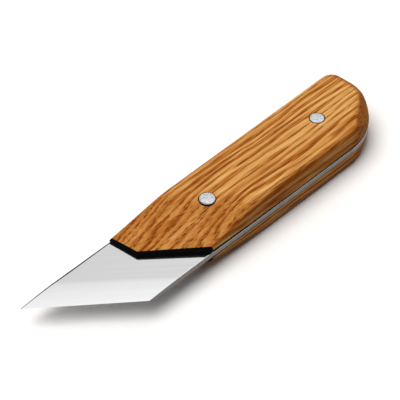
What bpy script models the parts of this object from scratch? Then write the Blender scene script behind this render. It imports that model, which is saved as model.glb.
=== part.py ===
"""Skew carving knife: a steel blade with a full tang, pinned between two wooden handle scales.

The knife lies flat, as it rests on a bench. +X runs from the tip to the butt, +Y towards the spine
(the straight back edge) and +Z up. The origin is on the bench, under the middle of the knife.
Shapes are drawn around the tang's middle plane, with x = 0 at the spine end of the scales' front.
"""

import math

import bmesh
import bpy

MM = 0.001

# Steel blade and tang
BLADE_REACH = 43.6 * MM  # tip ahead of the scales' front
BLADE_WIDTH = 30.0 * MM
STEEL_THICKNESS = 2.3 * MM
SKEW_ANGLE = math.radians(42.6)  # cutting edge to the knife's axis
BEVEL_WIDTH = 10.0 * MM  # ground on both sides, measured square to the cutting edge
EDGE_LAND = 0.15 * MM  # flat that is left at the cutting edge

# Handle outline, shared by the tang, the liners and the scales
HANDLE_LENGTH = 119.6 * MM
SKEW_START = 2.7 * MM  # above the axis: where the front turns from nearly square to skew
FRONT_SLANT = 1.05 * MM  # how far that turn lies behind the front's spine end
BELLY_SWELL = 0.4 * MM  # how far the belly edge swells past the blade's width
SPINE_RISE = 0.6 * MM  # how far the spine edge rises on its way to the butt
BUTT_SWEEP = 24.2 * MM  # length of the round sweep from belly to butt
BUTT_PEAK = 5.2 * MM  # above the axis: where the sweep reaches the butt's end
BUTT_CORNER = 2.9 * MM  # radius between butt and spine, on the scales' outer faces
BUTT_LEAN = 1.3  # how many times further the butt leans in than the sides

# Scales
SCALE_THICKNESS = 6.4 * MM
SIDE_DRAFT = math.radians(8.0)  # how far the sides lean in
EDGE_ROUND = 2.6 * MM  # radius between the sides and the outer face
EDGE_TAPER = 0.6  # how the sides' inset follows the wood's thickness: 0 not at all, 1 in step with it
RAMP_START_SPINE = 24.4 * MM  # where the front ramp starts, behind the front's spine end
RAMP_START_BELLY = 45.4 * MM  # the same at the belly
RAMP_BLEND = 4.5 * MM  # half the length over which the face bends into the ramp
FRONT_HEIGHT_SPINE = 0.5 * MM  # wood that the ramp leaves at the front
FRONT_HEIGHT_BELLY = 1.3 * MM  # the same at the belly
FRONT_LEAN = 0.5 * MM  # how far the front leans back at its top

# Black bonding layer and front coat
LINER_THICKNESS = 0.3 * MM
SEAL_THICKNESS = 0.4 * MM
CLEARANCE = 0.3 * MM  # between pieces that touch

# Rivets
FRONT_RIVET_DIAMETER = 6.0 * MM
REAR_RIVET_DIAMETER = 5.6 * MM
FRONT_RIVET_INSET = 34.3 * MM  # behind the front's spine end
REAR_RIVET_INSET = 26.0 * MM  # ahead of the butt
RIVET_PROUD = 0.2 * MM  # above the upper scale
RIVET_RECESS = 0.1 * MM  # inside the lower scale, so that the knife rests on wood
RIVET_EDGE = 0.3 * MM  # rounding of the rivet's ends

# Steps in the round stretches
SWEEP_STEPS = 28
CORNER_STEPS = 10
BELLY_STEPS = 10
SPINE_STEPS = 10
ROUND_STEPS = 6
BEND_STEPS = 4
RAMP_STRIPS = 6
RIVET_STEPS = 48
RIVET_EDGE_STEPS = 2
SMOOTH_ANGLE = math.radians(35.0)  # edges that bend less than this are shaded smooth
CUT_TOLERANCE = 0.0001 * MM

# Derived places
HALF_WIDTH = BLADE_WIDTH / 2
SKEW_SIN = math.sin(SKEW_ANGLE)
SKEW_COS = math.cos(SKEW_ANGLE)
FRONT_TURN = math.atan2(FRONT_SLANT, HALF_WIDTH - SKEW_START)
FRONT_SIN = math.sin(FRONT_TURN)
FRONT_COS = math.cos(FRONT_TURN)
JOINT = LINER_THICKNESS + 2 * CLEARANCE  # from the tang's face to the scale
TANG_FACE = STEEL_THICKNESS / 2
SCALE_BASE = TANG_FACE + JOINT
SCALE_TOP = SCALE_BASE + SCALE_THICKNESS
SCALE_SETBACK = SEAL_THICKNESS + CLEARANCE  # of the wood behind the front line
SPINE_END = HALF_WIDTH + SPINE_RISE
BELLY_END = HALF_WIDTH + BELLY_SWELL
SWEEP_START = HANDLE_LENGTH - BUTT_SWEEP
FACE_ROUND = min(EDGE_ROUND, SCALE_THICKNESS / 2)
SIDE_WALL = SCALE_THICKNESS - FACE_ROUND * (1 - math.sin(SIDE_DRAFT))
SIDE_LEAN = SIDE_WALL * math.tan(SIDE_DRAFT)
FACE_INSET = SIDE_LEAN + FACE_ROUND * math.cos(SIDE_DRAFT)
CORNER_START = HANDLE_LENGTH - BUTT_CORNER - BUTT_LEAN * FACE_INSET


def front_line(inset, setback):
    """The chevron at the scales' front: its spine end, its bend and its belly end."""
    square = FRONT_SIN * HALF_WIDTH + setback
    skew = SKEW_SIN * FRONT_SLANT + SKEW_COS * SKEW_START + setback
    turn = FRONT_COS * SKEW_COS - FRONT_SIN * SKEW_SIN
    edge = HALF_WIDTH - inset
    spine_end = ((square - FRONT_SIN * edge) / FRONT_COS, edge)
    bend = (
        (square * SKEW_COS - skew * FRONT_SIN) / turn,
        (skew * FRONT_COS - square * SKEW_SIN) / turn,
    )
    belly_end = ((skew + SKEW_COS * edge) / SKEW_SIN, -edge)
    return [spine_end, bend, belly_end]


BELLY_START = front_line(0, SCALE_SETBACK)[2][0]


def rear_line(inset):
    """Belly, butt and spine corner, from just behind the front line's belly end to the spine."""
    points = []
    for step in range(1, BELLY_STEPS):
        share = step / BELLY_STEPS
        x = BELLY_START + share * (SWEEP_START - BELLY_START)
        swell = BELLY_SWELL * (1 - (1 - share) ** 2)
        points.append((x, inset - HALF_WIDTH - swell))
    for step in range(SWEEP_STEPS + 1):
        turn = math.radians(90 * step / SWEEP_STEPS)
        x = SWEEP_START + (BUTT_SWEEP - BUTT_LEAN * inset) * math.sin(turn)
        y = BUTT_PEAK - (BELLY_END + BUTT_PEAK - inset) * math.cos(turn)
        points.append((x, y))
    length = BUTT_CORNER + BUTT_LEAN * (FACE_INSET - inset)
    height = BUTT_CORNER + FACE_INSET - inset
    for step in range(CORNER_STEPS + 1):
        turn = math.radians(90 * step / CORNER_STEPS)
        x = CORNER_START + length * math.cos(turn)
        y = SPINE_END - inset - height * (1 - math.sin(turn))
        points.append((x, y))
    return points


def spine_line(inset, setback):
    """The spine edge, from the butt's corner forward, with shorter steps towards the front."""
    front = front_line(inset, setback)[0][0]
    points = []
    for step in range(1, SPINE_STEPS):
        share = 1 - (1 - step / SPINE_STEPS) ** 2
        x = CORNER_START + share * (front - CORNER_START)
        points.append((x, SPINE_END - inset - share * SPINE_RISE))
    return points


def handle_outline(inset, setback):
    return front_line(inset, setback) + rear_line(inset) + spine_line(inset, setback)


def scale_outline(inset, lean):
    return handle_outline(inset, SCALE_SETBACK + lean)


def seal_outline(inset, lean):
    return front_line(inset, lean) + front_line(inset, SEAL_THICKNESS + lean)[::-1]


def blade_outline():
    tip = (-BLADE_REACH, HALF_WIDTH)
    heel = (BLADE_WIDTH * SKEW_COS / SKEW_SIN - BLADE_REACH, -HALF_WIDTH)
    return [tip, heel, (BELLY_START, -HALF_WIDTH)] + rear_line(0) + [(0, HALF_WIDTH)]


def side_profile():
    """Inset and height of each ring from a scale's base to its outer face."""
    rings = [(0, 0)]
    for step in range(ROUND_STEPS + 1):
        turn = SIDE_DRAFT + (math.pi / 2 - SIDE_DRAFT) * step / ROUND_STEPS
        inset = SIDE_LEAN + FACE_ROUND * (math.cos(SIDE_DRAFT) - math.cos(turn))
        height = SIDE_WALL + FACE_ROUND * (math.sin(turn) - math.sin(SIDE_DRAFT))
        rings.append((inset, height))
    return rings


def between(spine, belly, y):
    """A value that runs evenly from the spine edge to the belly edge."""
    return belly + (spine - belly) * (y + HALF_WIDTH) / BLADE_WIDTH


def ramp_height(x, y):
    """A scale's thickness at a point: the ramp runs evenly from its start down to the front line."""
    start = between(RAMP_START_SPINE, RAMP_START_BELLY, y)
    front = (HALF_WIDTH - y) * FRONT_SIN / FRONT_COS
    if y < SKEW_START:
        front = FRONT_SLANT + (SKEW_START - y) * SKEW_COS / SKEW_SIN
    drop = SCALE_THICKNESS - between(FRONT_HEIGHT_SPINE, FRONT_HEIGHT_BELLY, y)
    ahead = start - x
    if ahead <= -RAMP_BLEND:
        return SCALE_THICKNESS
    if ahead < RAMP_BLEND:
        ahead = (ahead + RAMP_BLEND) ** 2 / (4 * RAMP_BLEND)
    return SCALE_THICKNESS - drop * ahead / (start - front)


def stack(rings):
    """A closed solid through rings of equally many points, with the base ring first."""
    solid = bmesh.new()
    loops = [[solid.verts.new(point) for point in ring] for ring in rings]
    solid.faces.new(loops[0][::-1])
    solid.faces.new(loops[-1])
    count = len(loops[0])
    for low, high in zip(loops, loops[1:]):
        for i in range(count):
            j = (i + 1) % count
            solid.faces.new((low[i], low[j], high[j], high[i]))
    return solid


def plate(outline, base, top):
    return stack([[(x, y, height) for x, y in outline] for height in (base, top)])


def cut_along(solid, faces, point, normal):
    """Adds edges where an upright plane crosses these faces."""
    parts = dict.fromkeys(faces)
    for face in faces:
        parts.update(dict.fromkeys([*face.verts, *face.edges]))
    bmesh.ops.bisect_plane(
        solid,
        geom=list(parts),
        dist=CUT_TOLERANCE,
        plane_co=(*point, 0),
        plane_no=(*normal, 0),
    )


def cut_ramp(solid):
    """Edges along the bend where the ramp starts, and strips down the ramp."""
    slant = (BLADE_WIDTH, RAMP_START_BELLY - RAMP_START_SPINE)
    for step in range(BEND_STEPS + 1):
        ahead = RAMP_BLEND * (1 - 2 * step / BEND_STEPS)
        cut_along(solid, solid.faces[:], (RAMP_START_SPINE - ahead, HALF_WIDTH), slant)
    ramp_end = max(RAMP_START_SPINE, RAMP_START_BELLY) + RAMP_BLEND
    for strip in range(1, RAMP_STRIPS):
        y = HALF_WIDTH - BLADE_WIDTH * strip / RAMP_STRIPS
        ramp = [face for face in solid.faces if all(v.co.x < ramp_end for v in face.verts)]
        cut_along(solid, ramp, (0, y), (0, 1))


def wooden_form(outline_at):
    """The solid that a scale's sides and ramp leave over an outline, with its base at height 0."""
    rings = []
    for inset, height in side_profile():
        lean = FRONT_LEAN * height / SCALE_THICKNESS
        ring = []
        for outer, inner in zip(outline_at(0, lean), outline_at(inset, lean)):
            share = (ramp_height(*outer) / SCALE_THICKNESS) ** EDGE_TAPER
            x, y = (a + share * (b - a) for a, b in zip(outer, inner))
            ring.append((x, y, height))
        rings.append(ring)
    solid = stack(rings)
    cut_ramp(solid)
    for vertex in solid.verts:
        vertex.co.z *= ramp_height(vertex.co.x, vertex.co.y) / SCALE_THICKNESS
    return solid


def turn_over(solid):
    for vertex in solid.verts:
        vertex.co.z *= -1
    bmesh.ops.reverse_faces(solid, faces=solid.faces)


def make_material(name, colour, roughness, metallic):
    material = bpy.data.materials.new(name)
    material.use_nodes = True
    shader = material.node_tree.nodes["Principled BSDF"]
    shader.inputs["Base Color"].default_value = (*colour, 1)
    shader.inputs["Roughness"].default_value = roughness
    shader.inputs["Metallic"].default_value = metallic
    return material


def add_object(name, solid, material, parent, height=0):
    mesh = bpy.data.meshes.new(name)
    solid.to_mesh(mesh)
    solid.free()
    mesh.shade_smooth()
    mesh.set_sharp_from_angle(angle=SMOOTH_ANGLE)
    mesh.materials.append(material)
    made = bpy.data.objects.new(name, mesh)
    made.location.z = height
    made.parent = parent
    bpy.context.collection.objects.link(made)
    return made


def make_blade():
    solid = plate(blade_outline(), -TANG_FACE, TANG_FACE)
    tip = blade_outline()[0]
    shoulder = (tip[0] + BEVEL_WIDTH * SKEW_SIN, tip[1] + BEVEL_WIDTH * SKEW_COS)
    cut_along(solid, solid.faces[:], shoulder, (SKEW_SIN, SKEW_COS))
    for vertex in solid.verts:
        ahead = (shoulder[0] - vertex.co.x) * SKEW_SIN + (shoulder[1] - vertex.co.y) * SKEW_COS
        if ahead > BEVEL_WIDTH / 2:
            vertex.co.z = math.copysign(EDGE_LAND / 2, vertex.co.z)
    return solid


def make_scale():
    return wooden_form(scale_outline)


def make_seal():
    return wooden_form(seal_outline)


def make_liner():
    return plate(handle_outline(0, 0), 0, LINER_THICKNESS)


def make_rod(diameter, length, rounding):
    solid = bmesh.new()
    bmesh.ops.create_cone(
        solid,
        cap_ends=True,
        segments=RIVET_STEPS,
        radius1=diameter / 2,
        radius2=diameter / 2,
        depth=length,
    )
    if rounding:
        ends = [face for face in solid.faces if len(face.verts) == RIVET_STEPS]
        bmesh.ops.bevel(
            solid,
            geom=[edge for face in ends for edge in face.edges],
            offset=rounding,
            segments=RIVET_EDGE_STEPS,
            profile=0.5,
            affect="EDGES",
        )
    return solid


def make_rivet(name, diameter, place, material, parent, pieces):
    """A rivet, and its clearance hole through each of the pieces that it pins."""
    top = SCALE_TOP + RIVET_PROUD
    bottom = RIVET_RECESS - SCALE_TOP
    rod = make_rod(diameter, top - bottom, RIVET_EDGE)
    rivet = add_object(name, rod, material, parent, (top + bottom) / 2)
    rivet.location.xy = place
    hole = make_rod(diameter + 2 * CLEARANCE, 2 * top + diameter, 0)  # runs past both scales
    cutter = add_object(name + "_hole", hole, material, parent)
    cutter.location.xy = place
    cutter.hide_render = True
    cutter.display_type = "WIRE"
    for piece in pieces:
        cut = piece.modifiers.new(name + " hole", "BOOLEAN")
        cut.operation = "DIFFERENCE"
        cut.solver = "EXACT"
        cut.object = cutter


def middle_height(x):
    """Middle of the handle's width at a place along it."""
    share = min(max((x - BELLY_START) / (SWEEP_START - BELLY_START), 0), 1)
    swell = BELLY_SWELL * (1 - (1 - share) ** 2)
    return (SPINE_RISE * x / CORNER_START - swell) / 2


def main():
    for old in list(bpy.data.objects):
        bpy.data.objects.remove(old)

    steel = make_material("ground steel", (0.58, 0.58, 0.58), 0.32, 1)
    wood = make_material("oiled oak", (0.55, 0.27, 0.08), 0.5, 0)
    black = make_material("black bonding layer", (0.008, 0.008, 0.008), 0.5, 0)
    paint = make_material("black end paint", (0.006, 0.006, 0.006), 0.4, 0)
    aluminium = make_material("aluminium rod", (0.7, 0.7, 0.69), 0.35, 1)

    knife = bpy.data.objects.new("knife", None)
    knife.location = (
        (BLADE_REACH - HANDLE_LENGTH) / 2,
        (BELLY_END - SPINE_END) / 2,
        SCALE_TOP,
    )
    bpy.context.collection.objects.link(knife)

    pinned = [add_object("blade", make_blade(), steel, knife)]
    for side, up in (("upper", True), ("lower", False)):
        scale = make_scale()
        seal = make_seal()
        liner = make_liner()
        if not up:
            for solid in (scale, seal, liner):
                turn_over(solid)
        sign = 1 if up else -1
        pinned.append(add_object(side + "_scale", scale, wood, knife, sign * SCALE_BASE))
        pinned.append(
            add_object(side + "_liner", liner, black, knife, sign * (TANG_FACE + CLEARANCE))
        )
        add_object(side + "_front_seal", seal, paint, knife, sign * SCALE_BASE)

    rivets = (
        ("front_rivet", FRONT_RIVET_DIAMETER, FRONT_RIVET_INSET),
        ("rear_rivet", REAR_RIVET_DIAMETER, HANDLE_LENGTH - REAR_RIVET_INSET),
    )
    for name, diameter, x in rivets:
        make_rivet(name, diameter, (x, middle_height(x)), aluminium, knife, pinned)


main()
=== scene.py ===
"""Looks of a skew carving knife: oiled oak scales, a ground steel blade and aluminium rivets.

Pieces are drawn in the knife's own frame, in metres: x = 0 at the spine end of the scales' front,
y = 0 on the blade's axis and z = 0 in the tang's middle plane. Their meshes are then moved to the
knife's place. Rivets and their glue are drawn at the places that the frame gives.
"""

import math

import bmesh
import bpy
from mathutils import Matrix, Vector


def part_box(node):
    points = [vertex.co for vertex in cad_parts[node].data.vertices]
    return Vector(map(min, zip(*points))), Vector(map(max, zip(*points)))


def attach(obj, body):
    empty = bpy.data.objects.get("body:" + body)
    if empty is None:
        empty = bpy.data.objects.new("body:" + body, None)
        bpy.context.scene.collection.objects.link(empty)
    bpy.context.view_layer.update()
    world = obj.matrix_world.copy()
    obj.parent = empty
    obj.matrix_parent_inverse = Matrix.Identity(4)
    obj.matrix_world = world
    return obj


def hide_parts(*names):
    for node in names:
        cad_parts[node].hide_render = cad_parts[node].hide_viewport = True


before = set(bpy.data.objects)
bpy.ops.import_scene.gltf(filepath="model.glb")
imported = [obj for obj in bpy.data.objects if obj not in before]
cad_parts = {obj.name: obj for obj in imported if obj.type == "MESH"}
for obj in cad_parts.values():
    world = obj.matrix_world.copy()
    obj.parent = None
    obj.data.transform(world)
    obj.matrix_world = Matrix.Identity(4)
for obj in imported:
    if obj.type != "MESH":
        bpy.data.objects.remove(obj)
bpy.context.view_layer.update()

MM = 0.001

# Sizes that the frame gives
steel_low, steel_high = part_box("blade")
liner_low, liner_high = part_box("upper_liner")
seal_low, seal_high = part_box("upper_front_seal")
scale_low, scale_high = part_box("upper_scale")
PLACE = Vector((liner_low.x, (seal_low.y + seal_high.y) / 2, (steel_low.z + steel_high.z) / 2))
HALF_WIDTH = (seal_high.y - seal_low.y) / 2
BLADE_REACH = liner_low.x - steel_low.x
HANDLE_LENGTH = liner_high.x - liner_low.x
SPINE_END = liner_high.y - PLACE.y
BELLY_END = PLACE.y - liner_low.y
TANG_FACE = steel_high.z - PLACE.z
SCALE_BASE = scale_low.z - PLACE.z
SCALE_TOP = scale_high.z - PLACE.z
SCALE_THICKNESS = SCALE_TOP - SCALE_BASE

# Outline of the blade and the handle
SKEW_ANGLE = math.radians(42.6)
SKEW_SIN = math.sin(SKEW_ANGLE)
SKEW_COS = math.cos(SKEW_ANGLE)
SKEW_START = 2.7 * MM
FRONT_SLANT = 1.05 * MM
FRONT_TURN = math.atan2(FRONT_SLANT, HALF_WIDTH - SKEW_START)
FRONT_SIN = math.sin(FRONT_TURN)
FRONT_COS = math.cos(FRONT_TURN)
BUTT_SWEEP = 24.2 * MM
BUTT_PEAK = 5.2 * MM
BUTT_CORNER = 2.1 * MM
BUTT_LEAN = 1.3
SWEEP_START = HANDLE_LENGTH - BUTT_SWEEP

# Section of the scales
SIDE_DRAFT = math.radians(8.0)
EDGE_ROUND = 2.6 * MM
SIDE_WALL = SCALE_THICKNESS - EDGE_ROUND * (1 - math.sin(SIDE_DRAFT))
SIDE_LEAN = SIDE_WALL * math.tan(SIDE_DRAFT)
FACE_INSET = SIDE_LEAN + EDGE_ROUND * math.cos(SIDE_DRAFT)
CORNER_START = HANDLE_LENGTH - BUTT_CORNER - BUTT_LEAN * FACE_INSET
EDGE_TAPER = 0.6
RAMP_START_SPINE = 24.4 * MM
RAMP_START_BELLY = 45.4 * MM
RAMP_BLEND = 4.5 * MM
FRONT_HEIGHT_SPINE = 0.5 * MM
FRONT_HEIGHT_BELLY = 1.3 * MM
FRONT_LEAN = 0.5 * MM
FACET_TURN = math.radians(37)  # of the pared corner between belly and butt
FACET_START = 71.0 * MM
FACET_SLOPE = 1.1
FACET_BLEND = 0.8 * MM

# Black joints and front coat
UPPER_JOINT = 0.4 * MM
LOWER_JOINT = 0.12 * MM
GROOVE_DEPTH = 0.5 * MM  # of the resin along the tang's broken upper edge
GROOVE_WIDTH = 0.4 * MM
JOINT_RECESS = 0.06 * MM
COAT_THICKNESS = 0.35 * MM
PAINT_OVER_EDGE = 0.1 * MM  # how far the coat laps onto the ramp
PAINT_ROUND_CORNER = 0.3 * MM  # how far it runs round onto the scale's sides
PAINT_SEEP_LENGTH = 35.0 * MM  # and how far it seeps along the joint
PAINT_SEEP_HEIGHT = 0.55 * MM

# Ground edge
BEVEL_WIDTH = 10.0 * MM
HONED_WIDTH = 0.25 * MM
HONED_HEIGHT = 0.09 * MM  # half the steel's thickness behind the honed strip
EDGE_HEIGHT = 0.02 * MM
HEEL_LIFT = 0.6 * MM  # how far the edge rises above the plate's middle, from the tip to the heel
BEVEL_BELLY = 0.55  # 0 is a flat bevel, 1 one that bends all the way from the blade's flat
SPINE_ARRIS = 0.68 * MM  # width of the broken edges along the blade, here the spine's at its widest
FRONT_ARRIS = 0.52 * MM
TIP_ARRIS = 0.3 * MM
BELLY_ARRIS = 0.15 * MM
ARRIS_SLOPE = 0.2
ARRIS_WIDEST = 0.45  # where the spine's arris is widest, as a share of the blade's reach
FLAT_STRIP = 0.8 * MM  # cut into the flat behind the bevel, so that shading changes only there
SIDE_TILT = 0.5  # a face whose normal rises less than this belongs to the plate's sides
ARRIS_TILT = 0.1  # another that turns more than this to the spine is one of its arrises

# Rivets
RIVET_NODES = ("front_rivet", "rear_rivet")
RIVET_GAP = 0.28 * MM
# Painted shade: holes and glue rings are moved towards the tip and the belly, so that the black ring
# round each rivet is wider on that side
SHADE_SIDE_SHIFT = Vector((-0.09, -0.09, 0)) * MM  # holes and glue rings sit off the rivets' middles, as painted shade
RIVET_ROUND = 0.35 * MM
RIVET_DOME = 0.1 * MM
GLUE_DEPTH = 0.12 * MM  # of the glue ring under the wood
GLUE_THICKNESS = 2.0 * MM
CIRCLE_STEPS = 72
DOME_RINGS = 24

# Camera
CAMERA_TARGET = Vector((-0.38, 6.49, 9.60)) * MM
CAMERA_AZIMUTH = math.radians(-47.06)
CAMERA_ELEVATION = math.radians(42.73)
CAMERA_DISTANCE = 858.6 * MM
CAMERA_LENS = 216.0

# Light
LAMP_FROM = Vector((-0.42, 0.05, 1.0))
LAMP_STRENGTH = 2.2
LAMP_WIDTH = math.radians(48)
GLOW_FROM = Vector((0.36, 0.1, 0.9276))  # the card, as metal mirrors it
FILL_FROM = Vector((0.1, 0.4, 0.911))  # and as it lights the rest
GLOW_LEVEL = 1.55
ROOM_TINT = (1, 0.945, 0.885, 1)  # of the light that fills the shadows
MIRRORED_ROOM = 0.72  # the least that metal mirrors of the pale room
WHITE = (1, 1, 1, 1)
FLOOR_BOUNCE = (0.5, 0.5, 0.5, 1)  # the floor's colour, for the light that it throws back
FLOOR_REACH = 4.0  # metres from its middle to its sides
# Brightness of the card, by the cosine of the angle from its middle
GLOW = (
    (0.0, 0.045),
    (0.6, 0.072),
    (0.7, 0.145),
    (0.8, 0.345),
    (0.873, 0.63),
    (0.91, 0.75),
    (0.95, 0.88),
    (0.965, 0.985),
    (1.0, 1.0),
)


# Outlines


def front_line(inset, setback, steps=24):
    """The chevron at the scales' front, from its spine end over its bend to its belly end."""
    square = FRONT_SIN * HALF_WIDTH + setback
    skew = SKEW_SIN * FRONT_SLANT + SKEW_COS * SKEW_START + setback
    turn = FRONT_COS * SKEW_COS - FRONT_SIN * SKEW_SIN
    edge = HALF_WIDTH - inset
    spine_end = ((square - FRONT_SIN * edge) / FRONT_COS, edge)
    bend = (
        (square * SKEW_COS - skew * FRONT_SIN) / turn,
        (skew * FRONT_COS - square * SKEW_SIN) / turn,
    )
    belly_end = ((skew + SKEW_COS * edge) / SKEW_SIN, -edge)
    corners = [spine_end, bend, belly_end]
    points = []
    for start, end in zip(corners, corners[1:]):
        for step in range(steps):
            share = step / steps
            points.append(tuple(a + share * (b - a) for a, b in zip(start, end)))
    return points + [corners[2]]


BELLY_START = front_line(0, COAT_THICKNESS)[-1][0]


def rear_line(inset, belly_steps=60, sweep_steps=48, corner_steps=16):
    """Belly, butt and spine corner, from just behind the front line's belly end to the spine."""
    points = []
    swell = BELLY_END - HALF_WIDTH
    for step in range(1, belly_steps):
        share = step / belly_steps
        x = BELLY_START + share * (SWEEP_START - BELLY_START)
        points.append((x, inset - HALF_WIDTH - swell * (1 - (1 - share) ** 2)))
    for step in range(sweep_steps + 1):
        turn = math.radians(90 * step / sweep_steps)
        x = SWEEP_START + (BUTT_SWEEP - BUTT_LEAN * inset) * math.sin(turn)
        y = BUTT_PEAK - (BELLY_END + BUTT_PEAK - inset) * math.cos(turn)
        points.append((x, y))
    length = BUTT_CORNER + BUTT_LEAN * (FACE_INSET - inset)
    height = BUTT_CORNER + FACE_INSET - inset
    for step in range(corner_steps + 1):
        turn = math.radians(90 * step / corner_steps)
        x = CORNER_START + length * math.cos(turn)
        y = SPINE_END - inset - height * (1 - math.sin(turn))
        points.append((x, y))
    return points


def spine_line(inset, setback, steps=80):
    """The spine edge, from the butt's corner forward to the front line."""
    front = front_line(inset, setback)[0][0]
    points = []
    for step in range(1, steps):
        share = step / steps
        x = CORNER_START + share * (front - CORNER_START)
        points.append((x, SPINE_END - inset - share * (SPINE_END - HALF_WIDTH)))
    return points


def handle_outline(inset, setback):
    """The scales' whole outline, moved inwards by the inset and back from the front line."""
    return front_line(inset, setback) + rear_line(inset) + spine_line(inset, setback)


def behind_front(x, y):
    """How far a point lies behind the chevron at the scales' front."""
    square = x * FRONT_COS + (y - HALF_WIDTH) * FRONT_SIN
    skew = (x - FRONT_SLANT) * SKEW_SIN + (y - SKEW_START) * SKEW_COS
    return min(square, skew)


def between(spine, belly, y):
    """A value that runs evenly from the spine edge to the belly edge."""
    return belly + (spine - belly) * (y + HALF_WIDTH) / (2 * HALF_WIDTH)


def ramp_height(x, y):
    """A scale's thickness at a point: the ramp runs evenly from its start down to the front line."""
    start = between(RAMP_START_SPINE, RAMP_START_BELLY, y)
    front = (HALF_WIDTH - y) * FRONT_SIN / FRONT_COS
    if y < SKEW_START:
        front = FRONT_SLANT + (SKEW_START - y) * SKEW_COS / SKEW_SIN
    drop = SCALE_THICKNESS - between(FRONT_HEIGHT_SPINE, FRONT_HEIGHT_BELLY, y)
    ahead = start - x
    if ahead <= -RAMP_BLEND:
        return SCALE_THICKNESS
    if ahead < RAMP_BLEND:
        ahead = (ahead + RAMP_BLEND) ** 2 / (4 * RAMP_BLEND)
    return SCALE_THICKNESS - drop * ahead / (start - front)


# Mesh tools

CUT_SNAP = 1e-8  # metres
LEVEL_LIMIT = MM / 1000  # points this close in height lie on one level


def stack(rings):
    """A closed solid through rings of equally many points, with the base ring first."""
    solid = bmesh.new()
    loops = [[solid.verts.new(point) for point in ring] for ring in rings]
    solid.faces.new(loops[0][::-1])
    solid.faces.new(loops[-1])
    count = len(loops[0])
    for low, high in zip(loops, loops[1:]):
        for i in range(count):
            j = (i + 1) % count
            solid.faces.new((low[i], low[j], high[j], high[i]))
    return solid


def cut_along(solid, faces, point, normal):
    """Adds edges where an upright plane crosses these faces."""
    parts = dict.fromkeys(faces)
    for face in faces:
        parts.update(dict.fromkeys([*face.verts, *face.edges]))
    bmesh.ops.bisect_plane(
        solid, geom=list(parts), dist=CUT_SNAP, plane_co=(*point, 0), plane_no=(*normal, 0)
    )


def turn_over(solid):
    for vertex in solid.verts:
        vertex.co.z *= -1
    bmesh.ops.reverse_faces(solid, faces=solid.faces)


def add_piece(name, solid, *materials):
    """A mesh object at the origin, with its place in its mesh."""
    mesh = bpy.data.meshes.new(name)
    solid.to_mesh(mesh)
    solid.free()
    mesh.transform(Matrix.Translation(PLACE))
    for material in materials:
        mesh.materials.append(material)
    piece = bpy.data.objects.new(name, mesh)
    bpy.context.scene.collection.objects.link(piece)
    return piece


def apply_modifiers(piece):
    graph = bpy.context.evaluated_depsgraph_get()
    mesh = bpy.data.meshes.new_from_object(piece.evaluated_get(graph))
    piece.modifiers.clear()
    piece.data = mesh


def dress(piece, slot, *nodes, smooth_below=40):
    """Hangs a finished piece on the knife, in place of these nodes."""
    piece.data.shade_smooth()
    piece.data.set_sharp_from_angle(angle=math.radians(smooth_below))
    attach(piece, "root")
    if nodes:
        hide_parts(*nodes)


def live_output(node):
    """The first output that a node's settings leave in use."""
    return next(output for output in node.outputs if output.enabled)


def add_node(tree, kind, inputs=(), **settings):
    """Adds a node with its settings. An input takes a value, a socket or a node's live output."""
    node = tree.nodes.new(kind)
    for name, value in settings.items():
        setattr(node, name, value)
    for key, value in dict(inputs).items():
        if isinstance(value, bpy.types.Node):
            value = live_output(value)
        if isinstance(value, bpy.types.NodeSocket):
            tree.links.new(value, node.inputs[key])
        else:
            node.inputs[key].default_value = value
    return node


# Materials

# Sockets of a Mix node: the second one's share, then pairs of numbers, vectors and colours
MIX_SHARE = 0
NUMBER_1, NUMBER_2 = 2, 3
VECTOR_1, VECTOR_2 = 4, 5
COLOUR_1, COLOUR_2 = 6, 7


def linear(hex_colour):
    """An sRGB hex colour as linear red, green, blue and alpha."""
    channels = []
    for start in (0, 2, 4):
        value = int(hex_colour[start : start + 2], 16) / 255
        channels.append(value / 12.92 if value <= 0.04045 else ((value + 0.055) / 1.055) ** 2.4)
    return (*channels, 1)


def new_material(name):
    material = bpy.data.materials.new(name)
    material.use_nodes = True
    return material, material.node_tree, material.node_tree.nodes["Principled BSDF"]


def set_stops(ramp, stops):
    """Places a Color Ramp's stops: pairs of a position and a colour or a grey level."""
    elements = ramp.color_ramp.elements
    while len(elements) < len(stops):
        elements.new(0.5)
    for element, (position, colour) in zip(elements, stops):
        element.position = position
        element.color = colour if isinstance(colour, tuple) else (colour, colour, colour, 1)


def set_surface(tree, shader, colour, roughness, bump):
    """Links a shader to the nodes that give its colour, roughness and relief."""
    for name, node in (("Base Color", colour), ("Roughness", roughness), ("Normal", bump)):
        tree.links.new(live_output(node), shader.inputs[name])


def per_mm(along, across):
    """Scale that turns wood coordinates in mm into cells this long and this wide."""
    return (1 / along, 1 / across, 1 / across)


OAK_TONES = (
    (0.0, linear("E2B26D")),
    (0.33, linear("CC9350")),
    (0.66, linear("AE6C2D")),
    (1.0, linear("8E4912")),
)
OAK_END = linear("A3682C")
OAK_PORE = linear("692C03")
COAT_BLACK = linear("0A0A0A")
OAK_IOR = 1.47
OAK_SHINE = 0.04
FILM_SHINE = 0.03
RING_SPACING = 2.2  # mm between growth rings
RING_RADIUS = 70.0  # mm from the tree's heart
RING_LEAN = -1.0  # height over width of the rings' normal
FIBRE_DRIFT = -0.006  # sideways, for each length along the handle
OAK_NOISES = {  # length and width of their cells, in mm
    "drift": (60, 9),
    "wander": (22, 1.4),
    "streak": (24, 0.8),
    "fibre": (11, 0.38),
    "cloud": (40, 5),
}
VESSEL_CELL = (8, 0.46)
RING_NOISES = {"drift": 1.1, "wander": 0.28}  # how far they move the rings, in years
EARLY_WOOD = ((0.0, 0.5), (0.1, 1.0), (0.35, 0.75), (0.62, 0.15), (0.88, 0.0), (1.0, 0.5))
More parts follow.
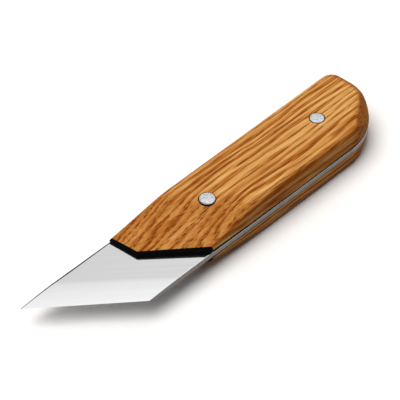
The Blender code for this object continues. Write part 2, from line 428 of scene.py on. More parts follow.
# Painted shade by tilt: how much a face is darkened, by how far its normal rises, from upright at 0 to
# flat at 1
EDGE_SHADE_BY_TILT = ((0.0, 0.1), (0.15, 0.3), (0.35, 1.0), (0.6, 1.0), (0.85, 0.1), (1.0, 0.0))
# How much each darkens the wood
FIBRE_TONE = 0.45
CLOUD_TONE = 0.3
END_TONE = 1.9
# the last one is painted shade on the rounded edges and sides
EDGE_SHADE_TONE = 0.42
TONE_SHIFT = -0.16
# How far the front's paint runs on, in mm
FIBRE_SOAK = 0.12
PORE_SOAK = 0.25


def oak_turn():
    """Rotation from the knife's axes to the wood's: along the fibres, along and across the rings."""
    fibre = Vector((1, FIBRE_DRIFT, 0)).normalized()
    outward = Vector((-FIBRE_DRIFT, 1, RING_LEAN)).normalized()
    return Matrix((fibre, outward.cross(fibre), outward)).to_euler()


def oiled_oak(name, offset):
    """Ring-porous oak, sanded and oiled: pale late wood between dark rows of open pores.

    Rings, fibres and pores are one solid field, so the ramp cuts across them as in a real board:
    long streaks on the flat, rows of short dashes where the ramp cuts the fibres. The pores are
    drawn about twice as wide as real ones, so that they show at the picture's size.
    """
    material, tree, shader = new_material(name)
    place = add_node(tree, "ShaderNodeTexCoord").outputs["Object"]
    wood = add_node(
        tree,
        "ShaderNodeMapping",
        {"Vector": place, "Scale": (1 / MM, 1 / MM, 1 / MM), "Rotation": oak_turn(), "Location": offset},
    )

    noises = {}
    for kind, cell in OAK_NOISES.items():
        cells = add_node(tree, "ShaderNodeMapping", {"Vector": wood, "Scale": per_mm(*cell)})
        noise = add_node(tree, "ShaderNodeTexNoise", {"Vector": cells, "Scale": 1, "Detail": 2})
        noises[kind] = add_node(
            tree, "ShaderNodeMapRange", {"Value": noise, "From Min": 0.32, "From Max": 0.68}
        )
    cells = add_node(tree, "ShaderNodeMapping", {"Vector": wood, "Scale": per_mm(*VESSEL_CELL)})
    vessels = add_node(tree, "ShaderNodeTexVoronoi", {"Vector": cells, "Scale": 1})

    # Growth rings: distance from the heart, made uneven
    section = add_node(tree, "ShaderNodeVectorMath", {0: wood, 1: (0, 1, 1)}, operation="MULTIPLY")
    section = add_node(
        tree, "ShaderNodeVectorMath", {0: section, 1: (0, 0, RING_RADIUS)}, operation="ADD"
    )
    radius = add_node(tree, "ShaderNodeVectorMath", {0: section}, operation="LENGTH").outputs["Value"]
    years = add_node(tree, "ShaderNodeMath", {0: radius, 1: 1 / RING_SPACING}, operation="MULTIPLY")
    for kind, amount in RING_NOISES.items():
        years = add_node(
            tree,
            "ShaderNodeMath",
            {0: noises[kind], 1: amount, 2: years},
            operation="MULTIPLY_ADD",
        )
    season = add_node(tree, "ShaderNodeMath", {0: years}, operation="FRACT")
    year = add_node(tree, "ShaderNodeMath", {0: years}, operation="FLOOR")
    vigour = add_node(tree, "ShaderNodeTexWhiteNoise", {"W": year}, noise_dimensions="1D")
    vigour = add_node(
        tree, "ShaderNodeMapRange", {"Value": vigour.outputs["Value"], "To Min": 0.35, "To Max": 1.0}
    )
    early = add_node(tree, "ShaderNodeValToRGB", {"Fac": season})
    set_stops(early, EARLY_WOOD)

    # Open pores, mostly in the early wood
    pore = add_node(
        tree,
        "ShaderNodeMapRange",
        {"Value": vessels.outputs["Distance"], "From Min": 0.5, "From Max": 0.3},
    )
    porous = add_node(
        tree,
        "ShaderNodeMapRange",
        {"Value": early, "From Min": 0.45, "From Max": 0.8, "To Min": 0.05},
    )
    pore = add_node(tree, "ShaderNodeMath", {0: pore, 1: porous}, operation="MULTIPLY")

    # End grain, which soaks up more oil
    facing = add_node(tree, "ShaderNodeNewGeometry").outputs["Normal"]
    end_grain = add_node(
        tree, "ShaderNodeVectorMath", {0: facing, 1: (1, FIBRE_DRIFT, 0)}, operation="DOT_PRODUCT"
    ).outputs["Value"]
    end_grain = add_node(tree, "ShaderNodeMath", {0: end_grain}, operation="ABSOLUTE")

    # Painted shade: faces are drawn darker by their tilt, most on the rounded edges and less on the
    # upright sides, which turn away from the light
    level = add_node(tree, "ShaderNodeSeparateXYZ", {"Vector": facing}).outputs["Z"]
    level = add_node(tree, "ShaderNodeMath", {0: level}, operation="ABSOLUTE")
    edge_shade = add_node(tree, "ShaderNodeValToRGB", {"Fac": level})
    set_stops(edge_shade, EDGE_SHADE_BY_TILT)

    # Tone
    patchy = add_node(
        tree, "ShaderNodeMapRange", {"Value": noises["streak"], "To Min": 0.35, "To Max": 1.1}
    )
    banded = add_node(tree, "ShaderNodeMath", {0: early, 1: vigour}, operation="MULTIPLY")
    banded = add_node(tree, "ShaderNodeMath", {0: banded, 1: patchy}, operation="MULTIPLY")
    grain = add_node(
        tree, "ShaderNodeMath", {0: noises["fibre"], 1: FIBRE_TONE, 2: banded}, operation="MULTIPLY_ADD"
    )
    even = add_node(
        tree, "ShaderNodeMapRange", {"Value": end_grain, "From Max": 0.4, "To Min": 1.15, "To Max": 0.1}
    )
    tone = add_node(
        tree, "ShaderNodeMath", {0: grain, 1: even, 2: TONE_SHIFT}, operation="MULTIPLY_ADD"
    )
    # the tilt term is painted shade, the others are the wood's own tone
    darker = ((noises["cloud"], CLOUD_TONE), (end_grain, END_TONE), (edge_shade, EDGE_SHADE_TONE))
    for source, amount in darker:
        tone = add_node(
            tree, "ShaderNodeMath", {0: source, 1: amount, 2: tone}, operation="MULTIPLY_ADD"
        )
    colour = add_node(tree, "ShaderNodeValToRGB", {"Fac": tone})
    set_stops(colour, OAK_TONES)
    soaked = add_node(
        tree,
        "ShaderNodeMapRange",
        {"Value": end_grain, "From Min": 0.28, "From Max": 0.5, "To Max": 0.75},
    )
    colour = add_node(
        tree,
        "ShaderNodeMix",
        {MIX_SHARE: soaked, COLOUR_1: colour, COLOUR_2: OAK_END},
        data_type="RGBA",
    )
    open_ends = add_node(
        tree, "ShaderNodeMath", {0: end_grain, 1: 1.2, 2: 0.75}, operation="MULTIPLY_ADD", use_clamp=True
    )
    pore_share = add_node(tree, "ShaderNodeMath", {0: pore, 1: open_ends}, operation="MULTIPLY")
    colour = add_node(
        tree,
        "ShaderNodeMix",
        {MIX_SHARE: pore_share, COLOUR_1: colour, COLOUR_2: OAK_PORE},
        data_type="RGBA",
    )

    # Black end paint that laps over the front edge and soaks into the pores
    paint = add_node(tree, "ShaderNodeAttribute", attribute_name="paint").outputs["Fac"]
    for source, amount in ((noises["fibre"], FIBRE_SOAK), (pore, PORE_SOAK)):
        paint = add_node(
            tree, "ShaderNodeMath", {0: source, 1: amount, 2: paint}, operation="MULTIPLY_ADD"
        )
    paint = add_node(
        tree, "ShaderNodeMapRange", {"Value": paint, "From Min": 0.1, "From Max": 0.2}
    )
    colour = add_node(
        tree,
        "ShaderNodeMix",
        {MIX_SHARE: paint, COLOUR_1: colour, COLOUR_2: COAT_BLACK},
        data_type="RGBA",
    )
    roughness = add_node(tree, "ShaderNodeMapRange", {"Value": pore, "To Min": 0.55, "To Max": 0.8})
    relief = add_node(
        tree, "ShaderNodeMath", {0: pore, 1: -1.0, 2: noises["fibre"]}, operation="MULTIPLY_ADD"
    )
    bump = add_node(tree, "ShaderNodeBump", {"Height": relief, "Strength": 0.5, "Distance": 0.06 * MM})
    set_surface(tree, shader, colour, roughness, bump)
    shader.inputs["IOR"].default_value = OAK_IOR
    shader.inputs["Specular IOR Level"].default_value = OAK_SHINE
    return material


def carbon_steel(name, tones, roughness_range, turn, mark_size, depth):
    """Carbon steel with fine straight marks. They are drawn wider than the grit, so that they show.

    The blade's flats come off a surface grinder: satin, with faint lines along the cutting edge.
    The plate's sides keep a grey skin, linished across. The spine's broken edges are drawn near black: a
    painted reflection of a dark room.
    """
    material, tree, shader = new_material(name)
    place = add_node(tree, "ShaderNodeTexCoord").outputs["Object"]
    turned = add_node(
        tree,
        "ShaderNodeMapping",
        {"Vector": place, "Scale": (1 / MM, 1 / MM, 1 / MM), "Rotation": (0, 0, turn)},
    )
    cells = tuple(1 / size for size in mark_size)
    stretched = add_node(tree, "ShaderNodeMapping", {"Vector": turned, "Scale": cells})
    marks = add_node(tree, "ShaderNodeTexNoise", {"Vector": stretched, "Scale": 1, "Detail": 3})
    colour = add_node(tree, "ShaderNodeValToRGB", {"Fac": marks})
    set_stops(colour, [(0.33, linear(tones[0])), (0.67, linear(tones[1]))])
    roughness = add_node(
        tree,
        "ShaderNodeMapRange",
        {"Value": marks, "To Min": roughness_range[0], "To Max": roughness_range[1]},
    )
    bump = add_node(tree, "ShaderNodeBump", {"Height": marks, "Strength": depth, "Distance": 0.03 * MM})
    set_surface(tree, shader, colour, roughness, bump)
    shader.inputs["Metallic"].default_value = 1
    return material


def sanded_aluminium():
    """Soft aluminium rod sanded flush with the wood: bright, with blotches and crossing scuffs."""
    material, tree, shader = new_material("sanded aluminium")
    place = add_node(tree, "ShaderNodeTexCoord").outputs["Object"]
    blotch = add_node(tree, "ShaderNodeTexNoise", {"Vector": place, "Scale": 1 / (0.7 * MM), "Detail": 3})
    scuffs = add_node(
        tree,
        "ShaderNodeMapping",
        {"Vector": place, "Scale": (1 / (3 * MM), 1 / (0.2 * MM), 1 / MM), "Rotation": (0, 0, 0.5)},
    )
    scuffs = add_node(tree, "ShaderNodeTexNoise", {"Vector": scuffs, "Scale": 1, "Detail": 2})
    wear = add_node(tree, "ShaderNodeMath", {0: scuffs, 1: 0.5, 2: blotch}, operation="MULTIPLY_ADD")
    colour = add_node(tree, "ShaderNodeValToRGB", {"Fac": wear})
    set_stops(colour, [(0.6, linear("B8B9BC")), (0.9, linear("E6E6E7"))])
    roughness = add_node(
        tree,
        "ShaderNodeMapRange",
        {"Value": wear, "From Min": 0.5, "From Max": 1.0, "To Min": 0.42, "To Max": 0.3},
    )
    bump = add_node(tree, "ShaderNodeBump", {"Height": wear, "Strength": 0.25, "Distance": 0.04 * MM})
    set_surface(tree, shader, colour, roughness, bump)
    shader.inputs["Metallic"].default_value = 1
    return material


def black_film(name, tones, roughness_range, grain):
    """Cured black resin or paint: near black, with slight brush marks that break up its gloss."""
    material, tree, shader = new_material(name)
    place = add_node(tree, "ShaderNodeTexCoord").outputs["Object"]
    strokes = add_node(tree, "ShaderNodeTexNoise", {"Vector": place, "Scale": 1 / grain, "Detail": 3})
    colour = add_node(tree, "ShaderNodeValToRGB", {"Fac": strokes})
    set_stops(colour, [(0.3, linear(tones[0])), (0.7, linear(tones[1]))])
    roughness = add_node(
        tree,
        "ShaderNodeMapRange",
        {"Value": strokes, "To Min": roughness_range[0], "To Max": roughness_range[1]},
    )
    bump = add_node(tree, "ShaderNodeBump", {"Height": strokes, "Strength": 0.3, "Distance": 0.05 * MM})
    set_surface(tree, shader, colour, roughness, bump)
    shader.inputs["Specular IOR Level"].default_value = FILM_SHINE
    return material


# Scales


def side_profile(base, wall_steps=6, round_steps=12):
    """Inset and height of each ring from a scale's base to its outer face."""
    rings = [(0, base)]
    for step in range(wall_steps):
        share = step / wall_steps
        rings.append((SIDE_LEAN * share, SCALE_BASE + SIDE_WALL * share))
    for step in range(round_steps + 1):
        turn = SIDE_DRAFT + (math.pi / 2 - SIDE_DRAFT) * step / round_steps
        inset = SIDE_LEAN + EDGE_ROUND * (math.cos(SIDE_DRAFT) - math.cos(turn))
        height = SIDE_WALL + EDGE_ROUND * (math.sin(turn) - math.sin(SIDE_DRAFT))
        rings.append((inset, SCALE_BASE + height))
    return rings


def wooden_rings(base, outline_at):
    """Rings of a scale's form. Down the ramp the sides' inset shrinks, and the front leans back."""
    rings = []
    for inset, height in side_profile(base):
        lean = FRONT_LEAN * max(0, height - SCALE_BASE) / SCALE_THICKNESS
        ring = []
        for outer, inner in zip(outline_at(0, lean), outline_at(inset, lean)):
            share = (ramp_height(*outer) / SCALE_THICKNESS) ** EDGE_TAPER
            x, y = (a + share * (b - a) for a, b in zip(outer, inner))
            ring.append((x, y, height))
        rings.append(ring)
    return rings


def follow_ramp(solid):
    """Lowers everything above the scale's base by the ramp's share."""
    for vertex in solid.verts:
        above = vertex.co.z - SCALE_BASE
        if above > 0:
            share = ramp_height(vertex.co.x, vertex.co.y) / SCALE_THICKNESS
            vertex.co.z = SCALE_BASE + above * share


def pare_corner(solid):
    """Lowers the corner between belly and butt to a flat facet with a soft upper edge."""
    for vertex in solid.verts:
        above = vertex.co.z - SCALE_BASE
        if above > 0:
            out = vertex.co.x * math.sin(FACET_TURN) - vertex.co.y * math.cos(FACET_TURN)
            limit = SCALE_THICKNESS - FACET_SLOPE * (out - FACET_START)
            share = min(1, max(0, 0.5 + (limit - above) / (2 * FACET_BLEND)))
            kept = limit + share * (above - limit) - FACET_BLEND * share * (1 - share)
            vertex.co.z = SCALE_BASE + kept


def cut_face_grid(solid, spacing=1.2 * MM, bend_steps=14, bend_margin=1.1):
    """Divides a scale's outer face, so that it can follow the ramp and its soft bend."""
    slant = (2 * HALF_WIDTH, RAMP_START_BELLY - RAMP_START_SPINE)
    top = max(vertex.co.z for vertex in solid.verts)
    cuts = []
    for step in range(bend_steps + 1):
        ahead = bend_margin * RAMP_BLEND * (1 - 2 * step / bend_steps)
        cuts.append(((RAMP_START_SPINE - ahead, HALF_WIDTH), slant))
    for step in range(1, int(HANDLE_LENGTH / spacing)):
        cuts.append(((step * spacing, 0), (1, 0)))
    for step in range(-int(HALF_WIDTH / spacing), int(HALF_WIDTH / spacing) + 1):
        cuts.append(((0, step * spacing), (0, 1)))
    for point, normal in cuts:
        face = [f for f in solid.faces if all(v.co.z > top - LEVEL_LIMIT for v in f.verts)]
        cut_along(solid, face, point, normal)


def cut_front_strips(solid, strips=10, width=0.3 * MM):
    """Divides the wood just behind its front, where the paint ends."""
    bend = Vector((FRONT_SLANT, SKEW_START))
    for strip in range(1, strips + 1):
        back = COAT_THICKNESS + strip * width
        for normal in (Vector((FRONT_COS, FRONT_SIN)), Vector((SKEW_SIN, SKEW_COS))):
            near = [f for f in solid.faces if min(behind_front(*v.co.xy) for v in f.verts) < back]
            cut_along(solid, near, bend + back * normal, normal)


def mark_paint(solid, base):
    """Stores how far each point lies inside the painted front, in mm."""
    solid.normal_update()
    paint = solid.verts.layers.float.new("paint")
    for vertex in solid.verts:
        x, y, z = vertex.co
        rise = min(1, max(0, z - SCALE_BASE) / ramp_height(x, y))
        back = behind_front(x, y) - COAT_THICKNESS - FRONT_LEAN * rise
        upright = 1 - abs(vertex.normal.z)
        reach = PAINT_OVER_EDGE + PAINT_ROUND_CORNER * upright * math.sqrt(1 - rise * rise)
        seep = PAINT_SEEP_HEIGHT * (1 - back / PAINT_SEEP_LENGTH) - (z - base)
        vertex[paint] = max(reach - back, seep) / MM


def make_scale(name, material, up):
    """A wooden scale on the tang's upper or lower side, still without its rivet holes."""
    base = TANG_FACE + (UPPER_JOINT if up else LOWER_JOINT)
    solid = stack(
        wooden_rings(base, lambda inset, lean: handle_outline(inset, COAT_THICKNESS + lean))
    )
    cut_face_grid(solid)
    cut_front_strips(solid)
    follow_ramp(solid)
    pare_corner(solid)
    mark_paint(solid, base)
    if not up:
        turn_over(solid)
    return add_piece(name, solid, material)


def make_coat(name, material, up):
    """Black coat on a scale's front, as high as the wood behind it, with softened edges."""
    base = TANG_FACE + (UPPER_JOINT if up else LOWER_JOINT)

    def outline_at(inset, lean):
        return front_line(inset, lean) + front_line(inset, COAT_THICKNESS + lean)[::-1]

    solid = stack(wooden_rings(base, outline_at))
    follow_ramp(solid)
    if not up:
        turn_over(solid)
    return add_piece(name, solid, material)


def make_joint(name, material, up):
    """Resin between a scale and the tang. The upper one also fills the tang's broken edge."""
    thickness = UPPER_JOINT if up else LOWER_JOINT
    front = front_line(JOINT_RECESS, JOINT_RECESS)
    rear = rear_line(JOINT_RECESS) + spine_line(JOINT_RECESS, JOINT_RECESS)
    rings = [[(x, y, TANG_FACE + thickness) for x, y in front + rear]]
    if up:
        inner = rear_line(GROOVE_WIDTH) + spine_line(GROOVE_WIDTH, JOINT_RECESS)
        lip = [(x, y, TANG_FACE) for x, y in front]
        lip += [(x, y, TANG_FACE - GROOVE_DEPTH) for x, y in rear]
        base = [(x, y, TANG_FACE) for x, y in front + inner]
        rings = [base, lip] + rings
    else:
        rings = [[(x, y, TANG_FACE) for x, y in front + rear]] + rings
    solid = stack(rings)
    if not up:
        turn_over(solid)
    return add_piece(name, solid, material)


# Blade


def blade_ring(side, arris, tang_inset, tang_height):
    """Outline of the plate's upper or lower side, either inside its arris or outside and below it."""
    slope = SKEW_COS / SKEW_SIN
    spine_height = side * (TANG_FACE - (1 - arris) * ARRIS_SLOPE * SPINE_ARRIS)
    belly_height = side * (TANG_FACE - (1 - arris) * ARRIS_SLOPE * BELLY_ARRIS)
    tip_y = HALF_WIDTH - arris * TIP_ARRIS
    belly_y = arris * BELLY_ARRIS - HALF_WIDTH
    tip = ((HALF_WIDTH - tip_y) * slope - BLADE_REACH, tip_y, spine_height)
    heel = ((HALF_WIDTH - belly_y) * slope - BLADE_REACH, belly_y, belly_height)
    shoulder = (BELLY_START, belly_y, belly_height)
    front = (0, HALF_WIDTH - arris * FRONT_ARRIS, spine_height)
    widest = (-ARRIS_WIDEST * BLADE_REACH, HALF_WIDTH - arris * SPINE_ARRIS, spine_height)
    tang = rear_line(tang_inset) + spine_line(tang_inset, 0)
    return [tip, heel, shoulder] + [(x, y, tang_height) for x, y in tang] + [front, widest]


def from_edge(x, y):
    """Distance of a point from the cutting edge."""
    return (x + BLADE_REACH) * SKEW_SIN - (HALF_WIDTH - y) * SKEW_COS


def steel_height(distance):
    """Half the steel's thickness at a distance from the cutting edge."""
    if distance >= BEVEL_WIDTH:
        return TANG_FACE
    if distance <= HONED_WIDTH:
        return EDGE_HEIGHT + (HONED_HEIGHT - EDGE_HEIGHT) * max(0, distance) / HONED_WIDTH
    share = (BEVEL_WIDTH - distance) / (BEVEL_WIDTH - HONED_WIDTH)
    bent = share * (1 + BEVEL_BELLY * (share - 1))
    return TANG_FACE - (TANG_FACE - HONED_HEIGHT) * bent


def make_blade(ground, skinned, painted_dark_arris, bevel_steps=18):
    """The whole plate: ground flats and bevels, skinned sides, and arrises on its spine drawn near black
    as a painted dark reflection.
    """
    solid = stack(
        [
            blade_ring(-1, 1, 0, -TANG_FACE),
            blade_ring(-1, 0, 0, GROOVE_DEPTH - TANG_FACE),
            blade_ring(1, 0, 0, TANG_FACE - GROOVE_DEPTH),
            blade_ring(1, 1, GROOVE_WIDTH, TANG_FACE),
        ]
    )
    distances = [HONED_WIDTH / 2, HONED_WIDTH, BEVEL_WIDTH + FLAT_STRIP]
    for step in range(1, bevel_steps + 1):
        distances.append(HONED_WIDTH + (BEVEL_WIDTH - HONED_WIDTH) * step / bevel_steps)
    for distance in distances:
        point = (distance / SKEW_SIN - BLADE_REACH, HALF_WIDTH)
        cut_along(solid, solid.faces[:], point, (SKEW_SIN, SKEW_COS))
    for vertex in solid.verts:
        distance = from_edge(vertex.co.x, vertex.co.y)
        if distance < BEVEL_WIDTH:
            height = steel_height(distance)
            drop = TANG_FACE - abs(vertex.co.z)
            least = height / 10
            vertex.co.z = math.copysign(max(height - drop, least), vertex.co.z)
            ground_away = min(1, (TANG_FACE - height) / (TANG_FACE - HONED_HEIGHT))
            vertex.co.z += between(0, HEEL_LIFT, vertex.co.y) * ground_away
    solid.normal_update()
    for face in solid.faces:
        if abs(face.normal.z) < SIDE_TILT:
            face.material_index = 1
        # Spine arrises get near-black steel: a painted reflection of a dark room
        elif face.normal.y > ARRIS_TILT:
            face.material_index = 2
    return add_piece("ground_blade", solid, ground, skinned, painted_dark_arris)


# Rivets


def new_tree(name, sizes):
    """A Geometry Nodes tree with a size input for each name, and its input and output nodes."""
    tree = bpy.data.node_groups.new(name, "GeometryNodeTree")
    tree.interface.new_socket("Geometry", in_out="INPUT", socket_type="NodeSocketGeometry")
    for size in sizes:
        tree.interface.new_socket(size, in_out="INPUT", socket_type="NodeSocketFloat")
    tree.interface.new_socket("Finish", in_out="INPUT", socket_type="NodeSocketMaterial")
    tree.interface.new_socket("Geometry", in_out="OUTPUT", socket_type="NodeSocketGeometry")
    return tree, add_node(tree, "NodeGroupInput").outputs


def end_tree(tree, points, shape, radius, finish):
    """Sets a shape on each point, widened to the point's own radius, and makes it real."""
    width = add_node(tree, "GeometryNodeInputNamedAttribute", {"Name": "radius"}, data_type="FLOAT")
    width = add_node(tree, "ShaderNodeMath", {0: width, 1: radius}, operation="DIVIDE")
    size = add_node(tree, "ShaderNodeCombineXYZ", {"X": width, "Y": width, "Z": 1})
    placed = add_node(
        tree,
        "GeometryNodeInstanceOnPoints",
        {"Points": points, "Instance": shape, "Scale": size},
    )
    real = add_node(tree, "GeometryNodeRealizeInstances", {"Geometry": placed})
    done = add_node(tree, "GeometryNodeSetMaterial", {"Geometry": real, "Material": finish})
    add_node(tree, "NodeGroupOutput", {"Geometry": done})


def rivet_tree():
    """Pins with a slightly domed, rounded end at the top and at the bottom."""
    tree, sizes = new_tree("riveted pins", ("Radius", "Length", "Rounding", "Dome"))
    pin = add_node(
        tree,
        "GeometryNodeMeshCylinder",
        {
            "Vertices": CIRCLE_STEPS,
            "Side Segments": 1,
            "Fill Segments": DOME_RINGS,
            "Radius": sizes["Radius"],
            "Depth": sizes["Length"],
        },
    )
    place = add_node(tree, "GeometryNodeInputPosition")
    flat = add_node(tree, "ShaderNodeVectorMath", {0: place, 1: (1, 1, 0)}, operation="MULTIPLY")
    reach = add_node(tree, "ShaderNodeVectorMath", {0: flat}, operation="LENGTH").outputs["Value"]
    share = add_node(tree, "ShaderNodeMath", {0: reach, 1: sizes["Radius"]}, operation="DIVIDE")
    square = add_node(tree, "ShaderNodeMath", {0: share, 1: share}, operation="MULTIPLY")
    dome = add_node(tree, "ShaderNodeMath", {0: square, 1: sizes["Dome"]}, operation="MULTIPLY")

    rim = add_node(
        tree, "ShaderNodeMath", {0: sizes["Radius"], 1: sizes["Rounding"]}, operation="SUBTRACT"
    )
    past = add_node(tree, "ShaderNodeMath", {0: reach, 1: rim}, operation="SUBTRACT")
    past = add_node(tree, "ShaderNodeMath", {0: past, 1: 0}, operation="MAXIMUM")
    past = add_node(tree, "ShaderNodeMath", {0: past, 1: sizes["Rounding"]}, operation="DIVIDE")
    past = add_node(tree, "ShaderNodeMath", {0: past, 1: 1}, operation="MINIMUM")
    bend = add_node(tree, "ShaderNodeMath", {0: past}, operation="ARCSINE")
    bend = add_node(tree, "ShaderNodeMath", {0: bend}, operation="COSINE")
    bend = add_node(tree, "ShaderNodeMath", {0: 1, 1: bend}, operation="SUBTRACT")
    drop = add_node(
        tree, "ShaderNodeMath", {0: bend, 1: sizes["Rounding"], 2: dome}, operation="MULTIPLY_ADD"
    )

    height = add_node(tree, "ShaderNodeSeparateXYZ", {"Vector": place}).outputs["Z"]
    side = add_node(tree, "ShaderNodeMath", {0: height}, operation="SIGN")
    inward = add_node(tree, "ShaderNodeMath", {0: side, 1: -1}, operation="MULTIPLY")
    shift = add_node(tree, "ShaderNodeMath", {0: drop, 1: inward}, operation="MULTIPLY")
    shift = add_node(tree, "ShaderNodeCombineXYZ", {"Z": shift})
    shaped = add_node(tree, "GeometryNodeSetPosition", {"Geometry": pin.outputs["Mesh"], "Offset": shift})
    end_tree(tree, sizes["Geometry"], shaped, sizes["Radius"], sizes["Finish"])
    return tree


def glue_tree():
    """Rings of glue that fill the gap between a rivet and its hole."""
    tree, sizes = new_tree("glue rings", ("Radius", "Gap", "Thickness"))
    half_gap = add_node(tree, "ShaderNodeMath", {0: sizes["Gap"], 1: 0.5}, operation="MULTIPLY")
    middle = add_node(tree, "ShaderNodeMath", {0: sizes["Radius"], 1: half_gap}, operation="ADD")
    circle = add_node(
        tree, "GeometryNodeCurvePrimitiveCircle", {"Resolution": CIRCLE_STEPS, "Radius": middle}
    )
    section = add_node(
        tree,
        "GeometryNodeCurvePrimitiveQuadrilateral",
        {"Width": sizes["Gap"], "Height": sizes["Thickness"]},
    )
    ring = add_node(
        tree, "GeometryNodeCurveToMesh", {"Curve": circle.outputs["Curve"], "Profile Curve": section}
    )
    end_tree(tree, sizes["Geometry"], ring, sizes["Radius"], sizes["Finish"])
    return tree


def grow(name, points, tree, values):
    """Runs a tree on points, each with its own radius, and keeps the result as a plain mesh."""
    mesh = bpy.data.meshes.new(name)
    mesh.from_pydata([place for place, _ in points], [], [])
    radii = mesh.attributes.new("radius", "FLOAT", "POINT")
    radii.data.foreach_set("value", [radius for _, radius in points])
    piece = bpy.data.objects.new(name, mesh)
    bpy.context.scene.collection.objects.link(piece)
    modifier = piece.modifiers.new(tree.name, "NODES")
    modifier.node_group = tree
    for socket in tree.interface.items_tree:
        if socket.in_out == "INPUT" and socket.name in values:
            modifier[socket.identifier] = values[socket.name]
    apply_modifiers(piece)
    return piece


def bore_holes(piece, rivets):
    """Cuts the rivets' holes through a scale, moved off the rivets' middles for the painted shade beside
    them.
    """
    for low, high in rivets:
        hole = bmesh.new()
        radius = (high.x - low.x) / 2 + RIVET_GAP
        depth = 2 * (high.z - low.z)
        bmesh.ops.create_cone(
            hole, cap_ends=True, segments=CIRCLE_STEPS, radius1=radius, radius2=radius, depth=depth
        )
        bmesh.ops.translate(hole, verts=hole.verts, vec=(low + high) / 2 + SHADE_SIDE_SHIFT - PLACE)
        cutter = add_piece(piece.name + "_hole", hole, piece.data.materials[0])
        cut = piece.modifiers.new("hole", "BOOLEAN")
        cut.operation = "DIFFERENCE"
        cut.solver = "EXACT"
        cut.object = cutter
        apply_modifiers(piece)
        bpy.data.objects.remove(cutter)


def make_rivets(metal, glue):
    """Both pins, with a glue ring round each end, moved off the pins' middles so that the ring is wider
    on one side as painted shade. Gives the pins' boxes.
    """
    boxes = [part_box(node) for node in RIVET_NODES]
    radii = [(high.x - low.x) / 2 for low, high in boxes]
    middles = [((low + high) / 2, radius) for (low, high), radius in zip(boxes, radii)]
    length = boxes[0][1].z - boxes[0][0].z
    pins = grow(
        "aluminium_rivets",
        middles,
        rivet_tree(),
        {
            "Radius": radii[0],
            "Length": length,
            "Rounding": RIVET_ROUND,
            "Dome": RIVET_DOME,
            "Finish": metal,
        },
    )
    rings = []
    # The rings move with the holes, narrowed so that they still fill the gap: painted shade on one side
    shade_lap = SHADE_SIDE_SHIFT.length
    for middle, radius in middles:
        x, y = (middle + SHADE_SIDE_SHIFT).xy
        for up in (1, -1):
            wood = ramp_height(x - PLACE.x, y - PLACE.y) + SCALE_BASE
            height = wood - GLUE_DEPTH - GLUE_THICKNESS / 2
            rings.append(((x, y, PLACE.z + up * height), radius - shade_lap))
    glued = grow(
        "rivet_glue",
        rings,
        glue_tree(),
        {
            "Radius": radii[0] - shade_lap,
            "Gap": RIVET_GAP + shade_lap,
            "Thickness": GLUE_THICKNESS,
            "Finish": glue,
        },
    )
    dress(pins, "rivet_metal", *RIVET_NODES)
    dress(glued, "bonding_layer")
    return boxes


# Knife

ground = carbon_steel(
    "ground carbon steel", ("D1D1D2", "D6D6D7"), (0.09, 0.11), SKEW_ANGLE, (45, 0.3, 3), 0.012
)
skinned = carbon_steel(
    "skinned carbon steel", ("625F5B", "827F79"), (0.35, 0.45), 0, (0.22, 8, 30), 0.5
)
# Painted reflection: near-black steel on the spine's arrises, standing for a dark room that they mirror
painted_dark_arris = carbon_steel(
    "blackened carbon steel", ("262524", "383634"), (0.35, 0.45), 0, (0.22, 8, 30), 0.5
)
glue = black_film("black bonding resin", ("050505", "0C0C0C"), (0.45, 0.6), 0.8 * MM)
paint = black_film("black end paint", ("030303", "0A0A0A"), (0.4, 0.55), 0.5 * MM)

dress(make_blade(ground, skinned, painted_dark_arris), "steel", "blade", smooth_below=8)
rivet_boxes = make_rivets(sanded_aluminium(), glue)
for side, up, offset in (("upper", True, (40, 0, 0.7)), ("lower", False, (37, 11, 23))):
    scale = make_scale(side + "_oak", oiled_oak(side + " oiled oak", offset), up)
    bore_holes(scale, rivet_boxes)
    dress(scale, "wood", side + "_scale")
    dress(make_coat(side + "_front_coat", paint, up), "end_coat", side + "_front_seal")
    dress(make_joint(side + "_joint", glue, up), "bonding_layer", side + "_liner")


# Studio


def seen_by(tree, *rays):
    """1 for light paths of any of these kinds, and 0 for the rest."""
    path = add_node(tree, "ShaderNodeLightPath").outputs
    share = path[rays[0]]
    for ray in rays[1:]:
        share = add_node(tree, "ShaderNodeMath", {0: share, 1: path[ray]}, operation="MAXIMUM")
    return share


def make_floor():
    """A white sheet. It looks white, and throws back less light than it would, as in a large studio."""
    material, tree, shader = new_material("white paper floor")
    tree.nodes.remove(shader)
    direct = seen_by(tree, "Is Camera Ray", "Is Glossy Ray", "Is Transmission Ray")
    colour = add_node(
        tree,
        "ShaderNodeMix",
        {MIX_SHARE: direct, COLOUR_1: FLOOR_BOUNCE, COLOUR_2: WHITE},
        data_type="RGBA",
    )
    paper = add_node(tree, "ShaderNodeBsdfDiffuse", {"Color": colour})
    tree.links.new(live_output(paper), tree.nodes["Material Output"].inputs["Surface"])
    sheet = bmesh.new()
    bmesh.ops.create_grid(sheet, x_segments=1, y_segments=1, size=FLOOR_REACH)
    mesh = bpy.data.meshes.new("floor")
    sheet.to_mesh(mesh)
    sheet.free()
    mesh.materials.append(material)
    floor = bpy.data.objects.new("floor", mesh)
    bpy.context.scene.collection.objects.link(floor)


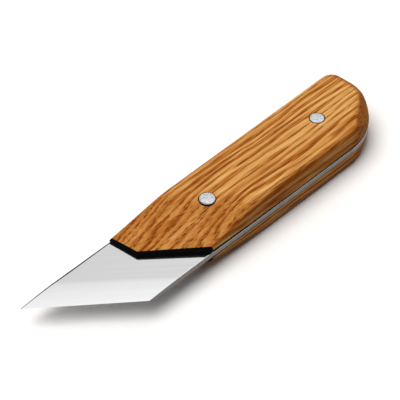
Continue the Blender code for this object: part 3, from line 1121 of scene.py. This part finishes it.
def make_sky():
    """A bright card overhead in a dim, warm room. The camera sees white, and metal a pale room."""
    world = bpy.data.worlds.new("studio")
    bpy.context.scene.world = world
    world.use_nodes = True
    tree = world.node_tree
    background = tree.nodes["Background"]
    clear = seen_by(tree, "Is Glossy Ray", "Is Transmission Ray")
    card = add_node(
        tree,
        "ShaderNodeMix",
        {MIX_SHARE: clear, VECTOR_1: FILL_FROM, VECTOR_2: GLOW_FROM},
        data_type="VECTOR",
    )
    direction = add_node(tree, "ShaderNodeTexCoord").outputs["Generated"]
    towards = add_node(
        tree, "ShaderNodeVectorMath", {0: direction, 1: card}, operation="DOT_PRODUCT"
    ).outputs["Value"]
    glow = add_node(tree, "ShaderNodeValToRGB", {"Fac": towards})
    set_stops(glow, GLOW)
    level = add_node(tree, "ShaderNodeMath", {0: glow, 1: GLOW_LEVEL}, operation="MULTIPLY")
    mirrored = add_node(tree, "ShaderNodeMath", {0: level, 1: MIRRORED_ROOM}, operation="MAXIMUM")
    strength = add_node(
        tree, "ShaderNodeMix", {MIX_SHARE: clear, NUMBER_1: level, NUMBER_2: mirrored}
    )
    camera = seen_by(tree, "Is Camera Ray")
    strength = add_node(
        tree, "ShaderNodeMix", {MIX_SHARE: camera, NUMBER_1: strength, NUMBER_2: 1}
    )
    colour = add_node(
        tree,
        "ShaderNodeMix",
        {MIX_SHARE: seen_by(tree, "Is Diffuse Ray"), COLOUR_1: WHITE, COLOUR_2: ROOM_TINT},
        data_type="RGBA",
    )
    tree.links.new(live_output(colour), background.inputs["Color"])
    tree.links.new(live_output(strength), background.inputs["Strength"])


def make_lamp():
    """A wide softbox overhead, towards the knife's tip. Metal doesn't mirror it."""
    lamp = bpy.data.lights.new("softbox", "SUN")
    lamp.energy = LAMP_STRENGTH
    lamp.angle = LAMP_WIDTH
    holder = bpy.data.objects.new("softbox", lamp)
    holder.rotation_euler = LAMP_FROM.to_track_quat("Z", "Y").to_euler()
    holder.visible_glossy = False
    bpy.context.scene.collection.objects.link(holder)


def make_camera():
    """A long lens at the photograph's viewing angle."""
    sight = Vector(
        (
            math.sin(CAMERA_AZIMUTH) * math.cos(CAMERA_ELEVATION),
            -math.cos(CAMERA_AZIMUTH) * math.cos(CAMERA_ELEVATION),
            math.sin(CAMERA_ELEVATION),
        )
    )
    camera = bpy.data.cameras.new("camera")
    camera.lens = CAMERA_LENS
    holder = bpy.data.objects.new("camera", camera)
    holder.location = CAMERA_TARGET + CAMERA_DISTANCE * sight
    holder.rotation_euler = sight.to_track_quat("Z", "Y").to_euler()
    bpy.context.scene.collection.objects.link(holder)
    bpy.context.scene.camera = holder


make_floor()
make_sky()
make_lamp()
make_camera()
bpy.context.scene.view_settings.view_transform = "Standard"
